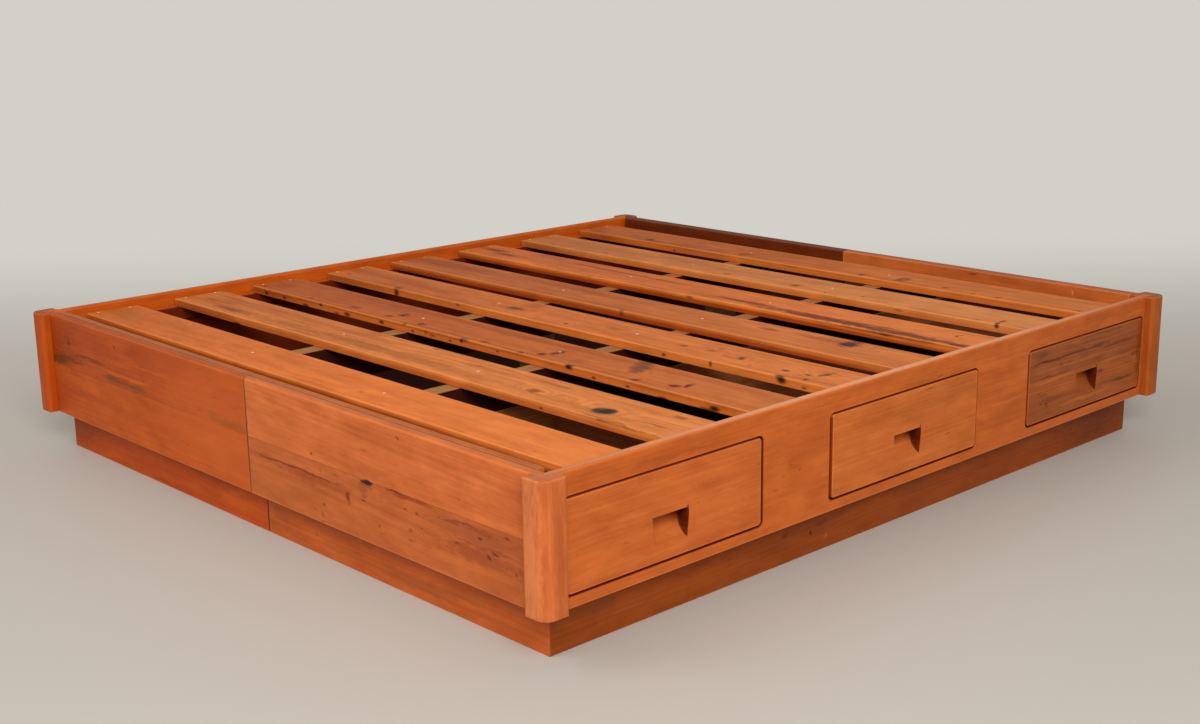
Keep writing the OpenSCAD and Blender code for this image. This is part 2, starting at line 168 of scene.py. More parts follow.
def torn(tree, tone, place, along, marks, tear):
    """Lays marks over a tone with their outlines bent and torn along the grain."""
    slack = Vector((1, 1, 1))
    slack[AXES.index(along)] = MARK_DRAWN
    slack = add(tree, "VectorMath", [(0, place)], operation="MULTIPLY", inputs={1: slack})
    ripple = add(tree, "TexNoise", [("Vector", slack)], normalize=False,
                 inputs={"Scale": BEND, "Detail": 2}).node.outputs["Color"]
    bent = add(tree, "VectorMath", [(0, ripple), (2, place)], operation="MULTIPLY_ADD",
               inputs={1: Vector((BENT, BENT, BENT)) * MM})
    ragged = add(tree, "TexNoise", [("Vector", slack)], normalize=False,
                 inputs={"Scale": TEAR, "Detail": 2, "Roughness": 0.6})
    ragged = add(tree, "Math", [(0, ragged)], operation="MULTIPLY", inputs={1: tear})
    return marked(tree, tone, bent, marks, ragged)


def from_middle(tree, place, middle, start, end):
    """For each axis, where a point's distance from the middle lies from start to end, as a
    part from 0 to 1."""
    off = add(tree, "VectorMath", [(0, place)], operation="SUBTRACT", inputs={1: middle})
    off = add(tree, "VectorMath", [(0, off)], operation="ABSOLUTE")
    near = add(tree, "MapRange", [("Vector", off)], data_type="FLOAT_VECTOR",
               inputs={7: start, 8: end})
    return add(tree, "SeparateXYZ", [(0, near)]).node.outputs


def inside(tree, place, low, high, soft=0.5):
    """A mask that is 1 inside a box and 0 outside it. The box and its soft rim are in mm."""
    low, high, rim = Vector(low) * MM, Vector(high) * MM, Vector((soft, soft, soft)) * MM
    half = (high - low) / 2
    parts = from_middle(tree, place, (low + high) / 2, half + rim, half - rim)
    pair = add(tree, "Math", [(0, parts[0]), (1, parts[1])], operation="MULTIPLY")
    return add(tree, "Math", [(0, pair), (1, parts[2])], operation="MULTIPLY")


def worn_and_highlit_edges(tree, place, low, high, reach=4.5):
    """A mask that is 1 along the edges of a board's box, where handling has thinned the oil and a
    painted highlight lies, and fades out over the reach in mm."""
    half = (high - low) / 2
    inner = half - Vector((reach, reach, reach)) * MM
    parts = from_middle(tree, place, (low + high) / 2, inner, half)
    pairs = [add(tree, "Math", [(0, parts[i]), (1, parts[j])], operation="MULTIPLY")
             for i, j in ((0, 1), (1, 2), (0, 2))]
    edge = add(tree, "Math", [(0, pairs[0]), (1, pairs[1])], operation="MAXIMUM")
    return add(tree, "Math", [(0, edge), (1, pairs[2])], operation="MAXIMUM")


def in_log(tree, place, along, start, lean):
    """The place of a board's points in its log, in metres, with the log's middle along Z."""
    turn = list(GRAIN[along])
    across = [i for i in range(3) if i != AXES.index(along)]
    for axis, angle in zip(across, lean):
        turn[axis] += math.radians(angle)
    return add(tree, "Mapping", [("Vector", place)], vector_type="TEXTURE",
               inputs={"Location": start * MM, "Rotation": turn})


def growth_rings(tree, place, log, long, along, ring, warp, knots):
    """Noise in rings round the log's middle, which wander and flow round the larger knots."""
    flat = add(tree, "VectorMath", [(0, log)], operation="MULTIPLY", inputs={1: (1, 1, 0)})
    wander = add(tree, "TexNoise", [("Vector", long)], normalize=False,
                 inputs={"Scale": WANDER, "Detail": 3, "Roughness": 0.5})
    radius = add(tree, "VectorMath", [(0, flat)], operation="LENGTH").node.outputs["Value"]
    radius = add(tree, "Math", [(0, wander), (2, radius)], operation="MULTIPLY_ADD",
                 inputs={1: warp * MM})
    for centre, size in knots:
        stretch = Vector((size, size, size)) * MM * KNOT_REACH
        stretch[AXES.index(along)] *= KNOT_DRAWN
        near = add(tree, "Mapping", [("Vector", place)], vector_type="TEXTURE",
                   inputs={"Location": Vector(centre) * MM, "Scale": stretch})
        far = add(tree, "VectorMath", [(0, near)], operation="LENGTH").node.outputs["Value"]
        swell = add(tree, "MapRange", [("Value", far)], interpolation_type="SMOOTHERSTEP",
                    inputs={"From Min": 0, "From Max": 1, "To Min": size * KNOT_PUSH * MM,
                            "To Max": 0})
        radius = add(tree, "Math", [(0, radius), (1, swell)], operation="ADD")
    return add(tree, "TexNoise", [("W", radius)], noise_dimensions="1D",
               inputs={"Scale": 1000 / ring, "Detail": 2.5, "Roughness": 0.6})


def oiled(tree, tone, fine, rings, sheen):
    """The oiled surface over a tone. Fibres that stand up hold less oil and shine less, and
    late wood lies a little lower."""
    gloss = add(tree, "MapRange", [("Value", fine)],
                inputs={"From Min": NOISE_LOW, "From Max": NOISE_HIGH, "To Min": SMOOTH,
                        "To Max": ROUGH})
    height = add(tree, "Math", [(0, fine), (1, rings)], operation="SUBTRACT")
    bump = add(tree, "Bump", [("Height", height)], inputs={"Strength": 0.1, "Distance": 0.5 * MM})
    shader = add(tree, "BsdfPrincipled", [("Base Color", tone), ("Roughness", gloss),
                                         ("Normal", bump)],
                 inputs={"IOR": 1.45, "Specular IOR Level": sheen})
    add(tree, "OutputMaterial", [("Surface", shader)])


def wood(node, along, base, pith, seed, grain, ring=5.0, warp=12.0, fibre=0.26, lean=(0, 0),
         patch=0.35, patch_tone="#8A3A12", marks=(), tear=0.3, knots=(), seam=None,
         seam_base=None, sheen=0.15, wear=0.3, wear_and_highlight_tone="#E8965C", marks_and_painted_light=(), shadow=None,
         shadow_but=None, shadow_tone=PAINTED_SHADE):
    """Planed, oiled redwood for one board. The eye sees uneven growth rings drawn out along
    the board, fine fibres, blotches where the oil has sunk in, broad darker streaks, knots and
    stains, edges lighter from wear and a painted highlight, and painted shade and sheen.

    along: bed axis of the grain. pith: the log's middle, in mm from the board's own middle.
    seed: where along the log, in metres, the board was cut. lean: degrees that the log leans
    out of the board. ring, warp: width of a ring and how far it wanders, in mm. grain, fibre,
    patch, wear: strengths of rings, fibres, broad streaks and edges lighter from wear and a
    painted highlight. marks: marks torn along the grain, by tear. knots: middles and radii in
    mm of knots that the grain flows round. seam: axis and place in mm of a glue line, past which
    the board is seam_base. sheen: gloss of the oil. marks_and_painted_light: even marks laid
    over the rest, real stains, knots and joints, and painted shade, highlight and sheen. shadow:
    a box in mm whose faces get painted shade of the tone shadow_tone, outside shadow_but."""
    low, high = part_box(node)
    material, tree = new_material("redwood_" + node)
    place = add(tree, "TexCoord").node.outputs["Object"]
    start = Vector((low + high) / 2 / MM) + Vector(pith)
    start[AXES.index(along)] += seed * 1000
    log = in_log(tree, place, along, start, lean)
    if seam:
        axis, at = seam
        split = add(tree, "SeparateXYZ", [(0, place)]).node.outputs[AXES.index(axis)]
        past = add(tree, "Math", [(0, split)], operation="GREATER_THAN", inputs={1: at * MM})
        log = add(tree, "VectorMath", [(0, past), (2, log)], operation="MULTIPLY_ADD",
                  inputs={1: OTHER_CUT})
    long, thread, cloud = (
        add(tree, "VectorMath", [(0, log)], operation="MULTIPLY", inputs={1: (1, 1, drawn)})
        for drawn in (RING_DRAWN, FIBRE_DRAWN, BLOTCH_DRAWN))
    rings = growth_rings(tree, place, log, long, along, ring, warp, knots)
    fine = add(tree, "TexNoise", [("Vector", thread)],
               inputs={"Scale": FIBRE, "Detail": 4.5, "Roughness": 0.68})
    broad = add(tree, "TexNoise", [("Vector", long)],
                inputs={"Scale": STREAK, "Detail": 3, "Roughness": 0.55})
    cloud = add(tree, "TexNoise", [("Vector", cloud)], normalize=False,
                inputs={"Scale": BLOTCH, "Detail": 4, "Roughness": 0.62, "Distortion": 0.3})

    # Rings, fibres and blotches together choose between early and late wood
    shade = add(tree, "MapRange", [("Value", rings)],
                inputs={"From Min": NOISE_LOW, "From Max": NOISE_HIGH,
                        "To Min": 0.5 - (grain + fibre) / 2, "To Max": 0.5 + (grain - fibre) / 2})
    shade = add(tree, "Math", [(0, fine), (2, shade)], operation="MULTIPLY_ADD",
                inputs={1: fibre})
    shade = add(tree, "Math", [(0, cloud), (2, shade)], operation="MULTIPLY_ADD",
                use_clamp=True, inputs={1: BLOTCHED})
    tone = add(tree, "Mix", [("Factor", shade)], data_type="RGBA",
               inputs={6: srgb(base, EARLY), 7: srgb(base, LATE)})
    if seam:
        other = add(tree, "Mix", [("Factor", shade)], data_type="RGBA",
                    inputs={6: srgb(seam_base or base, EARLY), 7: srgb(seam_base or base, LATE)})
        tone = add(tree, "Mix", [("Factor", past), (6, tone), (7, other)], data_type="RGBA")
    streaks = add(tree, "MapRange", [("Value", broad)], interpolation_type="SMOOTHSTEP",
                  inputs={"From Min": STREAK_LOW, "From Max": STREAK_HIGH, "To Min": 0,
                          "To Max": patch})
    tone = add(tree, "Mix", [("Factor", streaks), (6, tone)], data_type="RGBA",
               inputs={7: srgb(patch_tone)})
    if marks:
        tone = torn(tree, tone, place, along, marks, tear)
    if seam:
        line = add(tree, "Math", [(0, split)], operation="COMPARE",
                   inputs={1: at * MM, 2: GLUE_HALF * MM})
        line = add(tree, "Math", [(0, line)], operation="MULTIPLY", inputs={1: GLUED})
        tone = add(tree, "Mix", [("Factor", line), (6, tone)], data_type="RGBA",
                   inputs={7: srgb(GLUE)})
    # Edges lighter from wear and from a painted highlight
    edge = worn_and_highlit_edges(tree, place, low, high)
    edge = add(tree, "Math", [(0, edge)], operation="MULTIPLY", inputs={1: wear})
    tone = add(tree, "Mix", [("Factor", edge), (6, tone)], data_type="RGBA",
               inputs={7: srgb(wear_and_highlight_tone)})
    # Stains, knots and joints laid over the rest, with painted shade, highlight and sheen
    tone = marked(tree, tone, place, marks_and_painted_light)
    # Painted shade on the faces inside the shadow box
    if shadow:
        dim = inside(tree, place, *shadow)
        if shadow_but:
            dim = add(tree, "Math", [(0, dim), (1, inside(tree, place, *shadow_but))],
                      operation="SUBTRACT", use_clamp=True)
        tone = add(tree, "Mix", [("Factor", dim), (6, tone)], data_type="RGBA",
                   inputs={7: srgb(shadow_tone)})
    oiled(tree, tone, fine, rings, sheen)
    give(node, material)


# ---------- Where the marks lie ----------

# Colours of knots and stains, from the darkest
BLACK, BROWN, RUST = "#1A0A05", "#561E08", "#8A340C"
# Faces that carry marks: the axis each one faces, its place, and how deep the marks go in mm
FOOT_END, DRAWER_SIDE = ("y", -1080, 12), ("x", 1008, 14)
FOOT_PLINTH, SIDE_PLINTH, HEAD_STRIP = ("y", -1040, 9), ("x", 968, 9), ("y", 1038, 8)
# Torn outlines shrink a mark on a slat, so it starts larger by these, along the slat and
# across it. Marks on slats go this deep in mm
TOP_GROWN, EDGE_GROWN = (1.1, 1.35), (1.2, 1.3)
SLAT_DEEP = 9


def on_face(face, *rows):
    """Marks on an upright face, from rows of place along the face, height, half sizes along
    and up, colour, strength and solid part."""
    axis, at, depth = face
    if axis == "y":
        return [((u, at, z), (a, depth, h), *rest) for u, z, a, h, *rest in rows]
    return [((at, u, z), (depth, a, h), *rest) for u, z, a, h, *rest in rows]


def on_slat(i, *rows):
    """Marks on a slat's top, from rows of x, distance from its middle towards the head, half
    sizes and the rest. Painted shade darkens it towards the left end and painted light makes it
    paler towards the right."""
    low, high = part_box("slat_%d" % i)
    middle = (low.y + high.y) / 2 / MM
    # Painted shade towards the left end and painted light towards the right
    painted_shading = [((-1000, middle, SLAT_TOP), (1500, 130, 60), "#9A4208", 0.4, 0),
           ((1000, middle, SLAT_TOP), (1100, 130, 60), "#F0A060", 0.14, 0)]
    longer, wider = TOP_GROWN
    return painted_shading + [((x, middle + v, SLAT_TOP), (a * longer, b * wider, SLAT_DEEP), *rest)
                  for x, v, a, b, *rest in rows]


def on_slat_edge(i, *rows):
    """Marks on a slat's near edge, from rows of x, depth below its top, half sizes along and
    up, and the rest."""
    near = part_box("slat_%d" % i)[0].y / MM
    longer, taller = EDGE_GROWN
    return [((x, near, SLAT_TOP - d), (a * longer, SLAT_DEEP, h * taller), *rest)
            for x, d, a, h, *rest in rows]


def slat(i, base, top, knots=(), edge=(), marks_and_painted_light=(), painted_edge_tone="#A03A08", painted_shading=0.3, **look):
    """A slat with marks on its top and its near edge, and knots given as x, y and radius. That
    edge gets painted light and shade of the tone painted_edge_tone at the strength
    painted_shading, and painted shade darker still at the left end."""
    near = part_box("slat_%d" % i)[0].y / MM
    # Painted light and shade on the near edge, and painted shade at its left end
    painted_edge_shading = [((0, near, SLAT_BASE + 2), (1500, 4, 16), painted_edge_tone, painted_shading, 0.5),
                  ((-900, near, SLAT_BASE + 9), (330, 4, 22), "#742004", 0.45, 0.1)]
    wood("slat_%d" % i, "x", base, marks=on_slat(i, *top), fibre=0.34, wear=0.5, sheen=0.07,
         knots=[((x, y, SLAT_TOP), radius) for x, y, radius in knots],
         marks_and_painted_light=[*painted_edge_shading, *on_slat_edge(i, *edge), *marks_and_painted_light], **look)


def dress_slats():
    """The eight slats, from the foot end to the head, each with its own knots and stains."""
    slat(1, "#E07831", pith=(0, 60, -210), seed=1.2, grain=0.22, ring=7, painted_edge_tone="#7A2604",
         painted_shading=0.7, patch=0.2, patch_tone="#B2581D",
         top=((-880, -10, 170, 90, "#AA5810", 0.44), (240, -32, 12, 5, RUST, 0.44),
              (845, -50, 12, 5, RUST, 0.38), (-560, -35, 90, 18, "#B25D14", 0.38),
              (680, -45, 160, 12, "#C26717", 0.38), (300, 40, 200, 22, "#CA6D19", 0.31)),
         # Painted shade in patches on the near edge
         marks_and_painted_light=[((450, -1000, 340), (70, 30, 16), "#4A1402", 0.7),
                  ((600, -1000, 340), (50, 30, 16), "#4A1402", 0.6),
                  ((-750, -1000, 340), (280, 30, 16), "#5A1402", 0.6)])
    slat(2, "#DB803C", pith=(0, -40, -130), seed=2.7, grain=0.6, ring=6, painted_edge_tone="#B03E08", painted_shading=0.5,
         knots=[(730, -668, 24), (505, -665, 18)],
         top=((-100, -34, 760, 24, "#96501C", 0.5, 0.3), (-720, -42, 110, 17, "#7F3E15", 0.75),
              (700, -45, 260, 16, "#AE5F19", 0.56), (500, 36, 90, 3, BROWN, 0.5),
              (505, -25, 30, 15, "#7A3915", 0.75), (45, 62, 14, 7, BROWN, 0.88),
              (880, 45, 28, 8, "#6F3513", 0.75), (330, 52, 20, 4, BROWN, 0.44),
              (250, 30, 26, 4, BROWN, 0.44), (400, 42, 14, 3, BROWN, 0.5),
              (880, -30, 60, 3, BROWN, 0.56), (800, -73, 150, 3, BROWN, 0.75),
              (-880, -10, 40, 8, RUST, 0.44), (180, -20, 40, 4, BROWN, 0.25)),
         marks_and_painted_light=[((732, -670, SLAT_TOP), (44, 37, 9), "#8F5129", 0.6, 0.4),
                  ((728, -673, SLAT_TOP), (30, 23, 9), "#33271C", 0.9, 0.6),
                  ((741, -666, SLAT_TOP), (24, 22, 9), "#2A2018", 0.9, 0.6),
                  ((724, -665, SLAT_TOP), (13, 8, 9), "#4E4436", 0.6, 0.2),
                  ((738, -678, SLAT_TOP), (20, 4, 9), BLACK, 0.7, 0.3)],
         edge=((-640, 20, 26, 4, BLACK, 0.7), (585, 14, 8, 3, BLACK, 0.7)))
    slat(3, "#C26425", pith=(0, 30, -90), seed=4.1, grain=0.52, ring=5, warp=16,
         painted_edge_tone="#D86C2C", painted_shading=0.6,
         knots=[(285, -398, 16), (-325, -402, 14), (530, -370, 24)],
         top=((-300, 45, 700, 16, "#9D410F", 0.5), (300, 42, 600, 13, "#9D410F", 0.5),
              (-318, -12, 15, 20, "#5C2308", 0.95, 0.3), (-340, -45, 22, 10, "#5A230A", 0.85),
              (-200, -46, 22, 12, "#641E08", 0.95, 0.3), (-495, -46, 30, 10, "#6E280A", 0.9, 0.3),
              (-690, -56, 14, 7, "#7A2206", 0.9, 0.3), (-930, -56, 14, 7, "#7A2206", 0.9, 0.3),
              (-890, -15, 60, 40, "#973D10", 0.5), (289, -10, 15, 24, "#5C2808", 0.95, 0.3),
              (270, -46, 17, 11, "#54200A", 0.95, 0.3), (508, 60, 32, 30, "#6E3924", 0.85, 0.3),
              (530, 25, 31, 30, "#723722", 0.85, 0.3), (545, -8, 23, 22, "#7C321A", 0.75, 0.2),
              (718, -14, 10, 17, "#601906", 0.95, 0.5), (697, -38, 17, 13, "#641908", 0.95, 0.5),
              (600, -58, 13, 8, "#5E1E0A", 0.95, 0.3), (72, -60, 20, 9, "#7A2C0C", 0.85, 0.2),
              (215, -71, 14, 6, BLACK, 0.95), (12, -73, 18, 6, BLACK, 0.95),
              (397, -72, 18, 8, BLACK, 0.95), (-237, -73, 10, 5, BLACK, 0.95),
              (380, -30, 22, 12, "#9D461C", 0.5)),
         edge=((-893, 12, 12, 7, BLACK, 0.85), (-800, 13, 12, 6, BLACK, 0.75),
               (-692, 18, 18, 5, BLACK, 0.8), (-617, 7, 12, 5, BLACK, 0.85),
               (-542, 18, 14, 4, BLACK, 0.6), (-492, 14, 18, 6, BLACK, 0.85),
               (-335, 11, 14, 6, BLACK, 0.85), (-200, 14, 9, 4, BLACK, 0.7),
               (-145, 8, 9, 3, BLACK, 0.7), (-118, 12, 16, 4, BLACK, 0.5),
               (-45, 14, 9, 3, BLACK, 0.7), (0, 7, 8, 6, BLACK, 0.9),
               (140, 10, 9, 3, BLACK, 0.7), (395, 4, 16, 7, BLACK, 0.95),
               (480, 14, 9, 4, BLACK, 0.8), (590, 14, 9, 3, BLACK, 0.85),
               (700, 20, 20, 4, BLACK, 0.85), (852, 14, 20, 7, BLACK, 0.95),
               (830, 19, 30, 4, BLACK, 0.7)))
    slat(4, "#D67531", pith=(0, -20, -160), seed=5.3, grain=0.5, ring=7, painted_edge_tone="#CE6A2A", painted_shading=0.4,
         knots=[(640, -140, 16), (880, -125, 18), (-160, -150, 22)],
         top=((-622, -68, 22, 11, "#471D08", 0.95), (-165, -16, 44, 15, "#6B3812", 0.94),
              (-150, 42, 40, 38, "#A05315", 0.69), (-905, -46, 14, 8, RUST, 0.62),
              (200, -5, 34, 16, "#A45115", 0.62), (70, -46, 9, 7, "#7C3412", 0.88),
              (455, -10, 14, 9, BROWN, 0.62), (540, -2, 20, 11, "#823A0D", 0.75),
              (545, 28, 14, 14, "#A05519", 0.62), (640, -8, 18, 14, "#532F13", 0.95),
              (610, -18, 34, 6, BROWN, 0.5), (785, -25, 15, 8, "#6A2A12", 0.94),
              (877, 8, 12, 27, "#573712", 0.95), (850, -22, 12, 7, BROWN, 0.75),
              (871, -58, 9, 9, "#532A10", 0.95), (845, -38, 26, 3, BROWN, 0.62),
              (692, -46, 10, 6, RUST, 0.62), (360, -14, 18, 5, RUST, 0.44),
              (808, -72, 20, 8, "#311309", 0.95)),
         edge=((-620, 12, 14, 12, "#2D1304", 0.9), (-340, 6, 12, 4, BLACK, 0.6),
               (448, 12, 9, 5, BLACK, 0.75), (600, 8, 7, 8, "#3E1907", 0.75),
               (815, 8, 18, 10, BLACK, 0.95), (880, 14, 10, 4, BLACK, 0.6)))
    slat(5, "#CA6E2F", pith=(0, 50, -120), seed=6.6, grain=0.62, ring=6, painted_edge_tone="#962C02", painted_shading=0.72,
         knots=[(733, 140, 24)],
         top=((-780, 18, 260, 36, "#923A10", 0.62, 0.3), (-200, 28, 420, 22, "#9F4112", 0.5),
              (650, 32, 120, 20, "#973D12", 0.56), (490, 24, 42, 12, "#8C3710", 0.75),
              (733, 37, 36, 38, "#863610", 0.94, 0.4), (733, 37, 25, 29, "#362014", 0.95, 0.5),
              (737, 30, 11, 13, "#42261B", 0.88), (57, -70, 12, 8, "#6A3212", 0.88),
              (-820, -35, 140, 12, "#A95E13", 0.5), (300, -55, 120, 6, "#B25816", 0.38)),
         edge=((60, 10, 12, 8, "#532809", 0.6),))
    slat(6, "#E17830", pith=(0, -70, -100), seed=7.9, grain=0.58, ring=6, painted_edge_tone="#8E2802",
         painted_shading=0.76,
         top=((-890, 12, 85, 14, "#5E2807", 0.9), (-810, -16, 75, 13, "#642C07", 0.9),
              (-320, 27, 400, 9, "#84300E", 0.75), (-120, 18, 100, 8, "#943710", 0.5),
              (230, -36, 150, 14, "#6A2A16", 0.85), (500, -50, 260, 20, "#6A2A16", 0.9, 0.4),
              (760, -56, 230, 22, "#6E311A", 0.9, 0.4), (930, -60, 60, 14, "#652710", 0.88),
              (872, 22, 6, 20, BROWN, 0.75), (500, 8, 60, 3, RUST, 0.38),
              (660, -30, 130, 3, BROWN, 0.62), (330, -60, 90, 3, BROWN, 0.5),
              (-330, -72, 90, 5, BROWN, 0.5)),
         edge=((55, 6, 16, 4, "#3F1304", 0.7), (720, 5, 260, 4, "#3F1304", 0.6)))
    slat(7, "#D88443", pith=(0, 20, -230), seed=9.1, grain=0.25, ring=8, painted_edge_tone="#C4541C", painted_shading=0.5,
         patch=0.2,
         top=((-590, -48, 14, 9, "#8A3A0F", 0.94), (-72, -46, 17, 9, "#79380F", 0.94),
              (178, -40, 19, 14, "#683514", 0.95), (415, -31, 10, 9, "#683514", 0.95),
              (305, -58, 10, 7, "#79380F", 0.88), (858, -36, 11, 14, "#632710", 0.95),
              (866, -62, 9, 14, "#51220F", 0.95), (-300, -68, 18, 5, BROWN, 0.62),
              (500, -50, 10, 3, RUST, 0.62), (800, -60, 12, 4, RUST, 0.62)),
         edge=((868, 5, 9, 7, BLACK, 0.85), (565, 9, 18, 3, BROWN, 0.5)))
    slat(8, "#CE6E27", pith=(0, -30, -150), seed=10.4, grain=0.55, ring=6, painted_edge_tone="#C8642E",
         painted_shading=0.4,
         top=((-655, -46, 28, 15, "#512A0C", 0.94), (-245, -36, 24, 24, "#6C310C", 0.81),
              (-245, -36, 9, 9, "#B96217", 0.62), (-480, 14, 24, 14, "#712F0C", 0.5),
              (-900, -50, 60, 20, "#6C2B0E", 0.5), (226, -50, 14, 12, "#571E09", 0.94),
              (352, -30, 24, 30, "#6C2A0D", 0.88), (354, -30, 9, 12, "#B1641E", 0.75),
              (512, -46, 14, 8, "#65270F", 0.88), (610, -64, 9, 6, BROWN, 0.75),
              (692, -64, 13, 9, "#652A0B", 0.88), (930, -62, 12, 9, "#572309", 0.95),
              (500, 25, 400, 5, "#A8540F", 0.44), (640, -22, 300, 4, "#A24E0E", 0.44)),
         edge=((-30, 6, 40, 3, BROWN, 0.4), (-515, 15, 9, 4, BLACK, 0.7)))


# The tops of the foot panels are laid over with a duller brown-tan, like the foot strip
FOOT_TOP_TONE = ((0, -1061, RAIL_TOP + 4), (1200, 12, 6), "#A8643A", 0.55, 0.7)


def post_top(x, y, tone, half=44, strength=0.55):
    """The mark for a post's top, whose end grain has drunk more oil."""
    return ((x, y, RAIL_TOP + 2), (half, half, 5), tone, strength, 0.6)


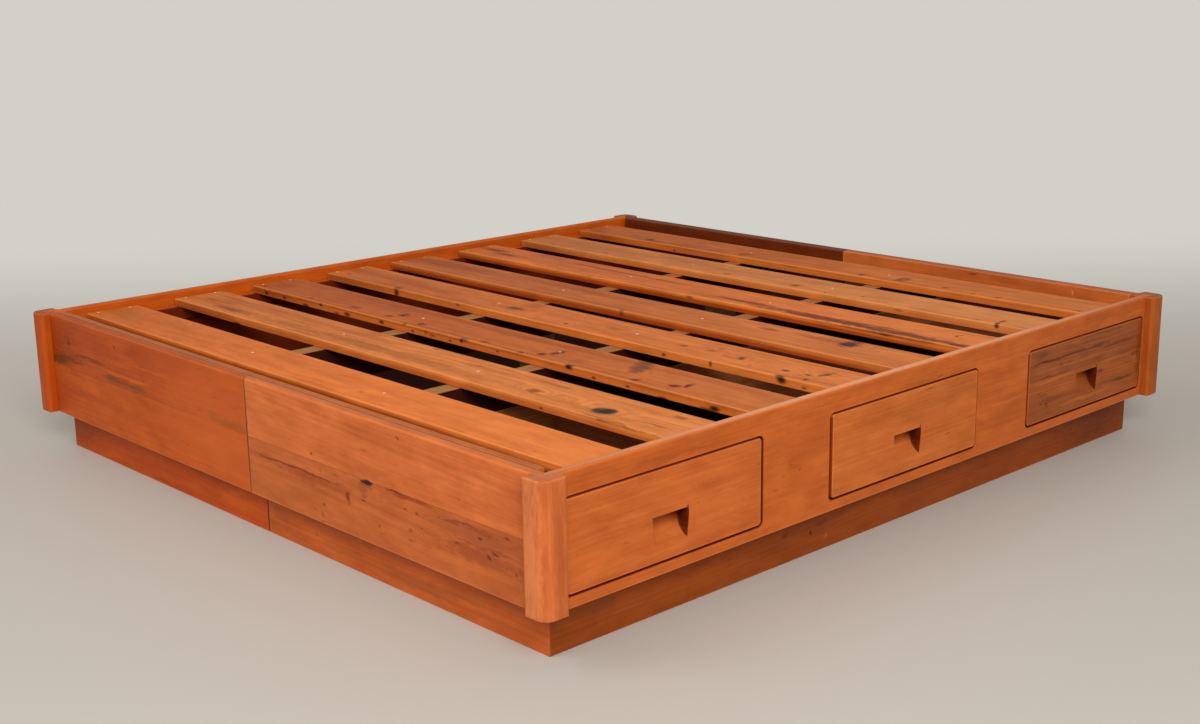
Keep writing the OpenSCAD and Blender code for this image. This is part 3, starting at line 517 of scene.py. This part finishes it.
def dress_frame():
    """The boards and posts round the slats, with the plinth and the ledgers. Marks laid over the
    rest at x 0 darken the butt joints of the foot panels and the foot plinth."""
    wood("foot_panel_right", "x", "#BB622F", pith=(0, 70, -160), seed=1.7, grain=0.3, ring=7,
         lean=(1.5, 0), patch=0.25, seam=("z", 238.5), seam_base="#CA6B35",
         knots=[((455, -1080, 232), 20)],
         marks=on_face(
             FOOT_END, (150, 262, 80, 26, "#B75925", 0.4), (570, 350, 8, 8, BROWN, 0.65),
             (455, 304, 18, 5, RUST, 0.6), (258, 252, 7, 7, "#69280E", 0.75),
             (310, 250, 70, 8, "#B3511D", 0.5), (940, 318, 90, 26, "#AF5322", 0.45),
             (560, 335, 170, 20, "#B35B2B", 0.3), (700, 300, 280, 10, "#B35B2B", 0.3),
             (760, 272, 10, 4, RUST, 0.4), (590, 262, 16, 8, "#B3551D", 0.45),
             (190, 204, 215, 5, "#7A2C10", 0.85, 0.4), (250, 192, 160, 14, "#983E18", 0.65),
             (388, 186, 12, 17, "#70280E", 0.8, 0.3), (445, 214, 20, 26, "#94401C", 0.6),
             (455, 229, 36, 11, "#79351C", 0.7), (457, 233, 27, 7, "#241516", 0.97, 0.4),
             (441, 193, 14, 3.5, "#3A170C", 0.9), (600, 233, 110, 7, "#8E3614", 0.8, 0.3),
             (560, 235, 40, 2.5, BROWN, 0.6), (800, 208, 190, 26, "#96492A", 0.6, 0.3),
             (820, 170, 190, 24, "#8E3C20", 0.6, 0.3), (840, 190, 130, 5, "#833C27", 0.55),
             (780, 222, 150, 5, "#7E3A1C", 0.7), (820, 210, 10, 4, BROWN, 0.85),
             (906, 227, 11, 4, BROWN, 0.75), (770, 220, 8, 4, BROWN, 0.5),
             (625, 210, 8, 4, BROWN, 0.65), (585, 208, 9, 4, BROWN, 0.45),
             (750, 180, 9, 4, BROWN, 0.7), (846, 178, 8, 6, "#4A1C25", 0.8),
             (868, 187, 14, 3, "#4A1C25", 0.75), (897, 166, 6, 3.5, "#4A1C25", 0.7),
             (927, 162, 6, 4, "#4A1C25", 0.7), (640, 180, 6, 3, BROWN, 0.6),
             (603, 168, 10, 4, BROWN, 0.5), (497, 148, 6, 5, BROWN, 0.55),
             (500, 136, 8, 2.5, BROWN, 0.5), (295, 151, 9, 3.5, BROWN, 0.65),
             (262, 127, 7, 3, BROWN, 0.45), (290, 125, 8, 4, BROWN, 0.45),
             (288, 110, 8, 4, "#593320", 0.7), (602, 145, 10, 2.5, BROWN, 0.5),
             (290, 222, 9, 5, BROWN, 0.35), (345, 222, 11, 6, BROWN, 0.35),
             (135, 192, 11, 3, BROWN, 0.45), (500, 112, 420, 8, "#9F4424", 0.3)),
         marks_and_painted_light=on_face(FOOT_END, (0, 240, 5, 320, "#4A1804", 0.85)) + [FOOT_TOP_TONE])
    wood("foot_panel_left", "x", "#BB5313", pith=(0, 60, -190), seed=3.9, grain=0.2, ring=8,
         patch=0.25, patch_tone="#993C0E", seam=("z", 239), seam_base="#B14C14",
         marks=on_face(
             # The first mark is painted shade towards the left end
             FOOT_END, (-1000, 305, 260, 90, "#7E2907", 0.65),
             (-780, 330, 220, 34, "#99380F", 0.4),
             (-760, 352, 170, 5, "#7E2B09", 0.4), (-760, 281, 150, 7, "#6E3208", 0.8),
             (-880, 268, 90, 9, "#663008", 0.8),
             (-560, 290, 150, 6, "#933813", 0.5), (-600, 310, 90, 4, RUST, 0.5),
             (-860, 262, 120, 9, "#6E300B", 0.6), (-935, 254, 95, 21, "#512B07", 0.75),
             (-870, 310, 18, 36, "#782B06", 0.45), (-870, 304, 12, 3, "#511903", 0.75),
             (-640, 253, 64, 15, "#61390F", 0.7), (-570, 250, 62, 12, "#6E390F", 0.55),
             (-515, 250, 68, 15, "#613C12", 0.7), (-590, 268, 110, 9, "#CB621A", 0.6),
             (-500, 270, 70, 8, "#C7641D", 0.5), (-478, 284, 9, 16, "#933712", 0.5),
             (-320, 341, 120, 22, "#A63E12", 0.45), (-240, 325, 260, 7, "#9B3A13", 0.35),
             (-615, 340, 10, 4.5, "#611C05", 0.85), (-205, 257, 10, 4, "#612207", 0.75),
             (-275, 252, 11, 5, "#8F3E17", 0.6), (-250, 243, 60, 3, "#6E2607", 0.65),
             (-145, 253, 36, 18, "#673810", 0.65), (-80, 250, 68, 19, "#573911", 0.75),
             (-25, 248, 42, 16, "#613E15", 0.65), (-60, 264, 34, 9, "#934B2A", 0.6),
             (-50, 292, 16, 3, "#612B09", 0.6), (-130, 305, 30, 3, "#6E2609", 0.7),
             (-30, 300, 34, 10, "#99350F", 0.5), (-160, 342, 24, 3, RUST, 0.4),
             (-400, 308, 300, 3, "#CB6422", 0.4),
             # The first mark is painted shade towards the left end
             (-1000, 160, 230, 90, "#933007", 0.55), (-800, 180, 160, 14, "#9B370C", 0.5),
             (-300, 163, 14, 3, "#7E2B09", 0.55), (-280, 156, 12, 5, "#893510", 0.5),
             (-345, 150, 24, 2.5, "#933812", 0.45), (-278, 126, 8, 4, "#893510", 0.5),
             (-110, 183, 14, 3, "#933812", 0.4), (-145, 188, 8, 2.5, "#7E2B09", 0.4),
             (-200, 125, 80, 5, "#9B3E13", 0.45), (-160, 112, 90, 6, "#933812", 0.4)),
         # Painted light over the panel's right part; the mark at x 0 is the dark butt joint
         marks_and_painted_light=on_face(FOOT_END, (-120, 240, 420, 260, "#CC6226", 0.4),
                         (0, 240, 4, 320, "#4A1804", 0.8)) + [FOOT_TOP_TONE])
    wood("side_rail_right", "y", "#B95D24", pith=(40, 0, -180), seed=2.2, grain=0.22, ring=8,
         # Painted shade on the walls of the drawer openings, where no light reaches
         patch=0.3, patch_tone="#9F4A17", shadow=((960, -1060, 118), (1007, 1060, 330)),
         shadow_tone="#762610",
         marks=on_face(
             DRAWER_SIDE, (-1010, 240, 60, 130, "#C66B2D", 0.35),
             (-430, 230, 40, 60, "#C26828", 0.4),
             (-380, 150, 60, 40, "#C66B29", 0.4), (-340, 262, 60, 26, "#A7501A", 0.35),
             (-400, 238, 9, 5, RUST, 0.6), (-372, 222, 6, 4, RUST, 0.5),
             (-425, 222, 6, 4, RUST, 0.4), (-445, 195, 9, 6, RUST, 0.4),
             (-760, 338, 200, 5, "#8D4216", 0.5), (-300, 345, 60, 5, "#994A1A", 0.4),
             (120, 332, 16, 4, "#5D2A29", 0.6), (400, 215, 90, 4, "#D07B37", 0.35),
             (380, 190, 90, 30, "#A7501A", 0.4), (350, 140, 60, 26, "#B35920", 0.4),
             (-990, 148, 4, 9, BROWN, 0.5), (-480, 112, 10, 3, BROWN, 0.4),
             (700, 350, 260, 12, "#A7501A", 0.35)),
         # Painted sheen along the rail's top, a pale reflection lying on the oil
         marks_and_painted_light=[((996, 0, RAIL_TOP + 4), (19, 1700, 9), "#F0AA7C", 0.7, 0.4)])
    wood("side_rail_left", "y", "#C85C15", pith=(-30, 0, -150), seed=6.4, grain=0.3, ring=7,
         # Painted shade on the rail's inner face below the ledger
         patch=0.3, shadow=((-1000, -1090, 0), (-900, 1090, SLAT_BASE - 22)),
         shadow_tone="#7E2C10")
    wood("head_panel_left", "x", "#7A3A1C", pith=(0, -60, -150), seed=8.8, grain=0.45, ring=6,
         seam=("z", 238.5), seam_base="#6A3018")
    wood("head_panel_right", "x", "#B05426", pith=(0, -70, -170), seed=11.2, grain=0.3, ring=7,
         seam=("z", 238.5))
    wood("foot_strip", "x", "#B3632E", pith=(0, 30, -90), seed=5.9, grain=0.35, ring=6,
         patch_tone="#865628", wear=0.2)
    wood("head_strip_left", "x", "#6D2909", pith=(0, 40, -80), seed=12.1, grain=0.5, ring=5,
         patch_tone="#3D1605", wear=0.15, wear_and_highlight_tone="#BF7938")
    wood("head_strip_right", "x", "#C3642B", pith=(0, 30, -110), seed=13.3, grain=0.35, ring=6,
         marks=on_face(
             HEAD_STRIP, (375, 362, 12, 4, "#6A2B12", 0.8), (470, 360, 18, 4, "#773215", 0.7),
             (600, 352, 60, 12, "#AC5221", 0.4), (792, 354, 3, 14, "#E8A468", 0.4, 0.4),
             (300, 345, 160, 6, "#A64E21", 0.35), (850, 340, 90, 6, "#A64E21", 0.4)))
    wood("post_foot_right", "z", "#C06634", pith=(-10, 20, 0), seed=1.1, grain=0.3, ring=4,
         warp=7, patch=0.2, patch_tone="#A75126", wear=0.25,
         marks=[((1031, -1090, 276), (4, 3.5, 13), "#5A1E10", 0.8),
                ((1031, -1090, 262), (3, 2, 26), "#6A2410", 0.75),
                ((1028, -1094, 225), (4, 4, 40), "#A75134", 0.4),
                ((1012, -1104, 215), (4, 4, 30), "#944924", 0.35),
                ((950, -1104, 150), (12, 9, 60), "#C87B43", 0.35),
                ((1020, -1100, 180), (5, 5, 3), BROWN, 0.4),
                # Painted shade down the post's side towards the drawers, and a painted highlight
                # down its face towards the foot
                ((1033, -1064, 200), (9, 26, 300), "#94421A", 0.45, 0.1),
                ((1000, -1106, 240), (52, 9, 300), "#E48C58", 0.4, 0.1),
                post_top(1008, -1080, "#B0683C", 40, 0.5)])
    wood("post_foot_left", "z", "#B14A0D", pith=(12, 15, 0), seed=2.4, grain=0.3, ring=4,
         warp=7, patch=0.3, patch_tone="#8F3606", wear=0.25,
         marks=[post_top(-1008, -1080, "#8A5017"),
                ((-1010, -1104, 330), (12, 6, 22), "#953C0A", 0.4)])
    wood("post_head_right", "z", "#A45119", pith=(-14, -12, 0), seed=3.5, grain=0.3, ring=4,
         warp=7, patch=0.25, wear=0.25,
         marks=[((1032, 1096, 262), (4, 8, 17), "#4A2617", 0.7),
                ((1032, 1092, 335), (4, 6, 8), "#64301D", 0.6),
                post_top(1008, 1080, "#8E5A2A")])
    wood("post_head_left", "z", "#A04A1E", pith=(12, -15, 0), seed=4.6, grain=0.3, ring=4,
         warp=7, wear=0.3, marks=[post_top(-1008, 1080, "#7A4A34")])
    wood("plinth_foot_left", "x", "#B84B0B", pith=(0, 50, -100), seed=7.1, grain=0.22, ring=7,
         patch=0.25, patch_tone="#953705", wear=0.1,
         marks=on_face(
             # The first mark is painted shade towards the left end
             FOOT_PLINTH, (-960, 50, 200, 70, "#782D05", 0.6), (-560, 25, 130, 14, "#A63F0B", 0.4),
             (-140, 40, 130, 26, "#CF6214", 0.4), (-500, 8, 60, 6, "#6B2905", 0.5)),
         marks_and_painted_light=[((0, -1040, 50), (3, 14, 130), "#2A0C04", 0.9)])
    wood("plinth_foot_right", "x", "#BB5923", pith=(0, -40, -120), seed=8.3, grain=0.3, ring=7,
         patch=0.3, patch_tone="#8A4619", wear=0.1,
         marks=on_face(
             FOOT_PLINTH, (300, 30, 110, 16, "#9B4C1B", 0.5),
             (560, 32, 200, 17, "#914C21", 0.55, 0.3), (720, 48, 120, 10, "#954E21", 0.5),
             (800, 25, 90, 14, "#9D5424", 0.4), (195, 48, 8, 4, "#803C3E", 0.5),
             (120, 20, 70, 12, "#9B4A19", 0.4)),
         marks_and_painted_light=[((0, -1040, 50), (6, 14, 130), "#2A0C04", 0.9)])
    wood("plinth_side_right", "y", "#883E0F", pith=(30, 0, -110), seed=9.6, grain=0.3, ring=7,
         patch=0.35, patch_tone="#602C0A", wear=0.1,
         marks=on_face(
             SIDE_PLINTH, (-920, 62, 90, 20, "#603418", 0.5), (-600, 40, 200, 30, "#99480F", 0.4),
             (-365, 65, 16, 12, "#4B1C05", 0.6), (-300, 60, 10, 5, "#602310", 0.5),
             (-283, 47, 4, 7, "#341005", 0.85), (-250, 60, 30, 14, "#552809", 0.5),
             (-230, 28, 10, 6, "#A0652E", 0.5), (100, 60, 120, 20, "#6F310C", 0.4),
             (60, 40, 300, 10, "#803F11", 0.3), (420, 25, 160, 16, "#863D0D", 0.4),
             # Painted shade at the far end, towards the head
             (900, 50, 260, 70, "#461D07", 0.55)))
    for name, along, base, seed in (("plinth_side_left", "y", "#8A4420", 14.4),
                                    ("plinth_head_left", "x", "#7A3A1C", 14.4),
                                    ("plinth_head_right", "x", "#84401E", 15.3)):
        wood(name, along, base, pith=(40, 40, -110), seed=seed, grain=0.3, ring=7, wear=0.1)
    wood("ledger_right", "y", "#A85A2C", pith=(20, 0, -60), seed=3.2, grain=0.4)
    wood("ledger_left", "y", "#B86430", pith=(-20, 0, -60), seed=5.2, grain=0.4,
         # Painted shade on the inner part of the ledger's top, under the slats
         shadow=((-957, -1100, 290), (-930, 1100, 340)), shadow_tone="#6A220C")


# Middles of the three pulls along the bed, and the height of their top edges, in mm
PULLS_Y, PULL_TOP = (-756, 4, 764), 224.5
# How deep the painted shade on a drawer front's face goes in at its edges, across and up, in mm
RIM = Vector((0, 1.1, 1.2))


def pull_shade(i):
    """Painted shade in the scoop of a pull, darkest in its upper corner under the overhang, and on
    its two slanted cheeks, the darker of them on the head side."""
    y = PULLS_Y[i - 1]
    return [((978, y - 10, PULL_TOP - 4), (29.8, 80, 46), "#8E3C12", 0.81, 0.3),
            ((978, y + 40, PULL_TOP + 2), (29.8, 38, 56), "#5E1E08", 0.81, 0.2),
            ((990, y - 48, PULL_TOP - 10), (17.5, 5, 60), "#6E2A0C", 0.72, 0.6),
            ((990, y + 47.5, PULL_TOP - 12), (40, 3.8, 24), "#4A1404", 0.9, 0.8),
            ((990, y + 46.0, PULL_TOP - 29), (40, 3.7, 17), "#521606", 0.9, 0.8),
            ((990, y + 44.3, PULL_TOP - 43), (40, 3.4, 22), "#5A1C08", 0.9, 0.8),
            ((984, y + 50, PULL_TOP + 2), (23.5, 28, 38), "#330D04", 0.9, 0.3)]


def front_edge_shade(i):
    """Painted shade on the edges all round a drawer front, in the gap: a shadow box round it all,
    and the box that runs through it from back to face and keeps the wood within the rim free of
    it."""
    low, high = (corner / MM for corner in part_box("drawer_%d_front" % i))
    margin, through = Vector((5, 5, 5)), Vector((60, 0, 0))
    return {"shadow": (low - margin, high + margin), "shadow_tone": "#8E3814",
            "shadow_but": (low - through + RIM, high + through - RIM)}


def dress_drawers():
    """The three drawer fronts. The third is two glued strips of an aged, darker board."""
    wood("drawer_1_front", "y", "#BC612A", pith=(50, 0, -170), seed=1.5, grain=0.24, ring=7,
         lean=(0, 1.2), patch=0.25, patch_tone="#A54F1D",
         marks=on_face(
             DRAWER_SIDE, (-880, 192, 16, 3, "#954318", 0.5), (-960, 255, 40, 3, "#9D4A1A", 0.35),
             (-540, 280, 60, 4, "#9D4D1A", 0.4), (-500, 262, 9, 4, RUST, 0.3),
             (-620, 250, 70, 3, "#A3511F", 0.4), (-940, 300, 60, 8, "#AC5423", 0.35),
             (-860, 240, 60, 10, "#C36B33", 0.35), (-680, 225, 5, 4, RUST, 0.4)),
         marks_and_painted_light=pull_shade(1), **front_edge_shade(1))
    wood("drawer_2_front", "y", "#BE652B", pith=(45, 0, -120), seed=3.1, grain=0.28, ring=7,
         patch=0.3, patch_tone="#9D501D",
         marks=on_face(
             DRAWER_SIDE, (85, 312, 24, 4, "#5C2925", 0.6), (-180, 250, 120, 4, "#AA5825", 0.4),
             (160, 187, 16, 3, BROWN, 0.55), (80, 268, 60, 6, "#A55429", 0.35),
             (100, 290, 90, 5, "#A55429", 0.35), (-150, 200, 60, 3, "#AA5621", 0.35),
             (215, 300, 20, 7, RUST, 0.35), (40, 160, 120, 8, "#C87134", 0.3)),
         marks_and_painted_light=pull_shade(2), **front_edge_shade(2))
    wood("drawer_3_front", "y", "#A05323", pith=(30, 0, -90), seed=4.7, grain=0.5, ring=5,
         patch=0.4, patch_tone="#713919", seam=("z", 238), seam_base="#934E25", tear=0.16,
         marks=on_face(
             DRAWER_SIDE, (700, 281, 260, 6, "#51270F", 0.85), (560, 280, 70, 7, "#49210B", 0.8),
             (920, 273, 130, 6, "#582B11", 0.75), (550, 302, 60, 16, "#683A19", 0.75),
             (800, 298, 220, 5, "#723C1B", 0.6), (840, 312, 170, 6, "#6E3B1B", 0.6),
             (700, 311, 60, 3, "#B76F3C", 0.4), (640, 262, 10, 5, "#51270F", 0.7),
             (680, 263, 12, 4, "#5E2F13", 0.6), (900, 262, 120, 5, "#7F421F", 0.5),
             (700, 256, 240, 5, "#B06032", 0.4), (590, 242, 120, 3, "#622D0D", 0.75),
             (620, 230, 150, 7, "#B9652E", 0.6), (900, 232, 100, 5, "#AA622D", 0.5),
             (1000, 226, 40, 6, "#622F13", 0.7), (832, 208, 20, 13, "#5A3827", 0.8, 0.3),
             (560, 196, 20, 5, "#743013", 0.6), (540, 203, 14, 3, "#743013", 0.5),
             (610, 180, 120, 11, "#723519", 0.7), (553, 175, 7, 4, "#4D190B", 0.85),
             (577, 171, 9, 5, "#4D190B", 0.85), (580, 164, 5, 3, "#4D190B", 0.8),
             (940, 172, 100, 7, "#572A0E", 0.8), (870, 176, 60, 8, "#753E1F", 0.6),
             (760, 154, 230, 7, "#B06527", 0.6), (585, 148, 10, 4, "#6E3511", 0.6),
             # The marks at y 1024 and y 488 are painted shade along the front's two edges, by the
             # gaps and in the post's shadow
             (900, 142, 150, 4, "#934C1F", 0.5), (1024, 230, 18, 120, "#5E290F", 0.6),
             (488, 230, 12, 120, "#6E3111", 0.5)),
         marks_and_painted_light=pull_shade(3), **front_edge_shade(3))


# ---------- Plain timber inside ----------


def plain_timber(names, title, base, dark, along="x", rough=0.7, shade=None):
    """Unoiled timber. The eye sees soft straight grain and a dry, dull face, with painted shade
    inside the box shade, in mm."""
    material, tree = new_material(title)
    place = add(tree, "TexCoord").node.outputs["Object"]
    # With the noise's scale, grain that is 3.7 mm wide and 69 mm long
    stretch = Vector((30, 30, 30))
    stretch[AXES.index(along)] = 1.6
    drawn = add(tree, "VectorMath", [(0, place)], operation="MULTIPLY", inputs={1: stretch})
    grain = add(tree, "TexNoise", [("Vector", drawn)],
                inputs={"Scale": 9, "Detail": 5, "Roughness": 0.6, "Distortion": 0.4})
    tone = add(tree, "MapRange", [("Value", grain)],
               inputs={"From Min": NOISE_LOW, "From Max": NOISE_HIGH})
    tone = add(tree, "Mix", [("Factor", tone)], data_type="RGBA",
               inputs={6: srgb(base), 7: srgb(dark)})
    # Painted shade inside the box
    if shade:
        dim = inside(tree, place, *shade)
        tone = add(tree, "Mix", [("Factor", dim), (6, tone)], data_type="RGBA",
                   inputs={7: srgb(PAINTED_SHADE)})
    bump = add(tree, "Bump", [("Height", grain)],
               inputs={"Strength": 0.15, "Distance": 0.6 * MM})
    shader = add(tree, "BsdfPrincipled", [("Base Color", tone), ("Normal", bump)],
                 inputs={"Roughness": rough, "Specular IOR Level": 0.15})
    add(tree, "OutputMaterial", [("Surface", shader)])
    for name in names:
        give(name, material)


def dress_inside():
    """What lies under the slats and behind the drawer fronts."""
    # Painted shade on the support rails below their tops, under the slats
    below = ((-1100, -1100, 0), (1100, 1100, SLAT_BASE - 1))
    plain_timber(["support_rail_right", "support_rail_left"], "softwood_supports", "#B07C4A",
                 "#8E5C30", along="y", shade=below)
    plain_timber(["support_legs", "panel_splices", "plinth_splices"], "softwood_blocks",
                 "#7A5A3A", "#5E4228")
    # The guides, runners and kickers are painted nearly black as painted shade under the slats
    guides = [n for n in NODES if n.startswith("guide_")]
    plain_timber([*guides, "drawer_runners", "drawer_kickers"], "softwood_guides", "#2A130A",
                 "#1C0C06")
    boxes = [n for n in NODES if n.startswith("drawer_")]
    plain_timber([n for n in boxes if "_side_" in n], "softwood_drawer_sides", "#A6683C",
                 "#824A28")
    plain_timber([n for n in boxes if n.endswith("_back")], "softwood_drawer_backs", "#A6683C",
                 "#824A28", along="y")
    plain_timber([n for n in boxes if n.endswith("_bottom")], "plywood_drawer_bottoms",
                 "#9A5C34", "#764020", along="y")
    # Hardboard's own dark brown, deepened as painted shade under the slats
    plain_timber(["deck_foot", "deck_head"], "hardboard_deck", "#4A1C0A", "#2E0E05", rough=0.8)


# ---------- Slat screws ----------

# A screw's sizes in mm: radius and height of its countersunk head, radius of its shank, its
# whole length, the length of its point, and the height of its top above the floor
HEAD_R, HEAD_H, SHANK_R, SCREW_L, POINT_L, SCREW_TOP = 4.6, 2.6, 2.0, 42, 7, 355.6
# Width of the point's tip against the shank, and the bevel round the head's rim in mm
TIP, RIM_EASE = 0.12, 0.3
# Sizes of the cross recess in mm: length, width and depth of its arms, and how far the cross
# that cuts it stands out of the head. An arm's bottom is this much shorter and narrower
RECESS_L, RECESS_W, RECESS_H, RECESS_OUT = 5.2, 1.2, 2.1, 0.5
RECESS_TAPER = (0.35, 0.7)
# Distance of a slat's two end screws from its middle, in mm
SCREW_SIDE = 46


def pick_faces(piece, wanted):
    """Selects the faces whose normal the test wants, and no others, in edit mode."""
    bpy.ops.object.mode_set(mode="EDIT")
    bpy.ops.mesh.select_mode(type="FACE")
    bpy.ops.mesh.select_all(action="DESELECT")
    bpy.ops.object.mode_set(mode="OBJECT")
    for face in piece.data.polygons:
        face.select = wanted(face.normal)
    bpy.ops.object.mode_set(mode="EDIT")


def squeeze(across_x, across_y):
    """Narrows the selected faces to these parts of their width."""
    bpy.ops.transform.resize(value=(across_x, across_y, 1))


def draw_down(length):
    """Extrudes the selected bottom face down by a length in mm."""
    bpy.ops.mesh.extrude_region_move(TRANSFORM_OT_translate={"value": (0, 0, -length * MM)})


def one_screw():
    """A countersunk wood screw at the origin with its top at zero: a head turned down to its
    shank, a drawn point, an eased rim, and a cross recess cut by a tapered cross."""
    bpy.ops.mesh.primitive_cylinder_add(vertices=12, radius=HEAD_R * MM, depth=HEAD_H * MM,
                                        location=(0, 0, -HEAD_H / 2 * MM))
    screw = bpy.context.object
    bpy.ops.object.transform_apply(location=True)
    pick_faces(screw, lambda normal: normal.z < -0.9)
    squeeze(SHANK_R / HEAD_R, SHANK_R / HEAD_R)
    draw_down(SCREW_L - HEAD_H - POINT_L)
    draw_down(POINT_L)
    squeeze(TIP, TIP)
    pick_faces(screw, lambda normal: normal.z > 0.9)
    bpy.ops.mesh.bevel(offset=RIM_EASE * MM, segments=1)
    bpy.ops.object.mode_set(mode="OBJECT")

    arm = Vector((RECESS_L, RECESS_W, RECESS_OUT + RECESS_H)) * MM
    bpy.ops.mesh.primitive_cube_add(size=1, scale=arm,
                                    location=(0, 0, (RECESS_OUT - RECESS_H) / 2 * MM))
    cross = bpy.context.object
    bpy.ops.object.transform_apply(location=True, scale=True)
    pick_faces(cross, lambda normal: normal.z < -0.9)
    squeeze(*RECESS_TAPER)
    bpy.ops.mesh.select_all(action="SELECT")
    bpy.ops.mesh.duplicate()
    bpy.ops.transform.rotate(value=math.pi / 2, orient_axis="Z", center_override=(0, 0, 0))
    bpy.ops.object.mode_set(mode="OBJECT")

    bpy.ops.object.select_all(action="DESELECT")
    screw.select_set(True)
    bpy.context.view_layer.objects.active = screw
    cut = screw.modifiers.new("recess", "BOOLEAN")
    cut.operation, cut.solver, cut.use_self, cut.object = "DIFFERENCE", "EXACT", True, cross
    bpy.ops.object.modifier_apply(modifier=cut.name)
    screw.select_set(False)
    cross.select_set(True)
    bpy.ops.object.delete()
    return screw


def screw_steel():
    """Pale plated steel. The eye sees a small bright disc, uneven where the plating has worn
    in spots of about 1 mm, with dirt in the cross recess."""
    material, tree = new_material("plated_screw_steel")
    place = add(tree, "TexCoord").node.outputs["Object"]
    height = add(tree, "SeparateXYZ", [(0, place)]).node.outputs[2]
    wear = add(tree, "TexNoise", [("Vector", place)], inputs={"Scale": 900, "Detail": 2})
    plate = add(tree, "Mix", [("Factor", wear)], data_type="RGBA",
                inputs={6: srgb("#FFF2D8"), 7: srgb("#EBD3A8")})
    clean = add(tree, "MapRange", [("Value", height)],
                inputs={"From Min": (SCREW_TOP - 1.4) * MM, "From Max": (SCREW_TOP - 0.4) * MM})
    tone = add(tree, "Mix", [("Factor", clean), (7, plate)], data_type="RGBA",
               inputs={6: srgb("#2A1A10")})
    gloss = add(tree, "MapRange", [("Value", wear)], inputs={"To Min": 0.42, "To Max": 0.62})
    metal = add(tree, "Math", [(0, clean)], operation="MULTIPLY", inputs={1: 0.5})
    shader = add(tree, "BsdfPrincipled", [("Base Color", tone), ("Roughness", gloss),
                                         ("Metallic", metal)])
    add(tree, "OutputMaterial", [("Surface", shader)])
    return material


def build_screws():
    """The screws of all the slats: two into each ledger and one into each support rail."""
    screw = one_screw()
    screw.data.materials.append(screw_steel())
    middles = {name: sum(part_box(name), Vector()) / 2 for name in
               ("ledger_right", "ledger_left", "support_rail_right", "support_rail_left")}
    side = SCREW_SIDE * MM
    spots = []
    for i in range(1, 9):
        y = sum(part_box("slat_%d" % i), Vector()).y / 2
        for name, middle in middles.items():
            offsets = (-side, side) if name.startswith("ledger") else (0,)
            spots += [(middle.x, y + offset) for offset in offsets]
    copies = []
    for k, (x, y) in enumerate(spots):
        bpy.ops.object.select_all(action="DESELECT")
        screw.select_set(True)
        bpy.context.view_layer.objects.active = screw
        bpy.ops.object.duplicate()
        copy = bpy.context.object
        copy.location = (x, y, SCREW_TOP * MM)
        # No two crosses that lie side by side are turned alike
        copy.rotation_euler.z = k * 2.4
        copies.append(copy)
    bpy.data.objects.remove(screw)
    bpy.ops.object.select_all(action="DESELECT")
    for copy in copies:
        copy.select_set(True)
    bpy.context.view_layer.objects.active = copies[0]
    bpy.ops.object.transform_apply(location=True, rotation=True)
    bpy.ops.object.join()
    piece = bpy.context.object
    piece.name = "slat_screw_set"
    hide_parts("slat_screws")
    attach(piece, "bed")
    bpy.ops.object.select_all(action="DESELECT")


# ---------- Floor and light ----------


# Direction of the photograph's view along the floor, and how far along it from the bed's
# middle, in metres, the floor starts and ends its turn into a backdrop
VIEW, TURN_START, TURN_END = (-0.73, 0.68, 0), 0.2, 3.2


def build_floor():
    """A plain pale floor that keeps the bed's shadow. Past the bed it turns, for the camera and
    in reflections, into an even pale backdrop."""
    bpy.ops.mesh.primitive_plane_add(size=300, location=(0, 0, 0))
    floor = bpy.context.object
    floor.name = "floor"
    material, tree = new_material("floor_matt_pale")
    place = add(tree, "TexCoord").node.outputs["Object"]
    away = add(tree, "VectorMath", [(0, place)], operation="DOT_PRODUCT",
               inputs={1: VIEW}).node.outputs["Value"]
    far = add(tree, "MapRange", [("Value", away)], interpolation_type="SMOOTHSTEP",
              inputs={"From Min": TURN_START, "From Max": TURN_END})
    rays = add(tree, "LightPath").node.outputs
    seen = add(tree, "Math", [(0, rays["Is Camera Ray"]), (1, rays["Is Glossy Ray"])],
               operation="MAXIMUM")
    seen = add(tree, "Math", [(0, seen), (1, rays["Is Transmission Ray"])], operation="MAXIMUM")
    far = add(tree, "Math", [(0, far), (1, seen)], operation="MULTIPLY")
    matt = add(tree, "BsdfPrincipled", inputs={"Base Color": srgb("#BDB6AC"), "Roughness": 0.6})
    pale = add(tree, "Emission", inputs={"Color": srgb("#D2D0C8")})
    mixed = add(tree, "MixShader", [(0, far), (1, matt), (2, pale)])
    add(tree, "OutputMaterial", [("Surface", mixed)])
    floor.data.materials.append(material)


def light_studio():
    """Soft light from all round, with two large lamps given by place and size in metres and
    power in watts: a window-like key from the near corner's side, and a weaker fill over the
    foot end."""
    world = bpy.data.worlds.new("studio")
    bpy.context.scene.world = world
    world.use_nodes = True
    sky = world.node_tree.nodes["Background"]
    sky.inputs["Color"].default_value = srgb("#FFFDF8")
    sky.inputs["Strength"].default_value = 0.45

    for name, at, size, power in (("key", (5.4, -3.9, 3.8), 3.5, 430),
                                  ("fill", (-1.6, -4.6, 4.2), 3.0, 85)):
        bpy.ops.object.light_add(type="AREA", location=at)
        lamp = bpy.context.object
        lamp.name = name
        lamp.data.size = size
        lamp.data.energy = power
        lamp.rotation_euler = (-Vector(at)).to_track_quat("-Z", "Y").to_euler()


place_camera()
build_floor()
light_studio()
dress_frame()
dress_slats()
dress_drawers()
dress_inside()
build_screws()

bpy.context.scene.view_settings.view_transform = "Standard"
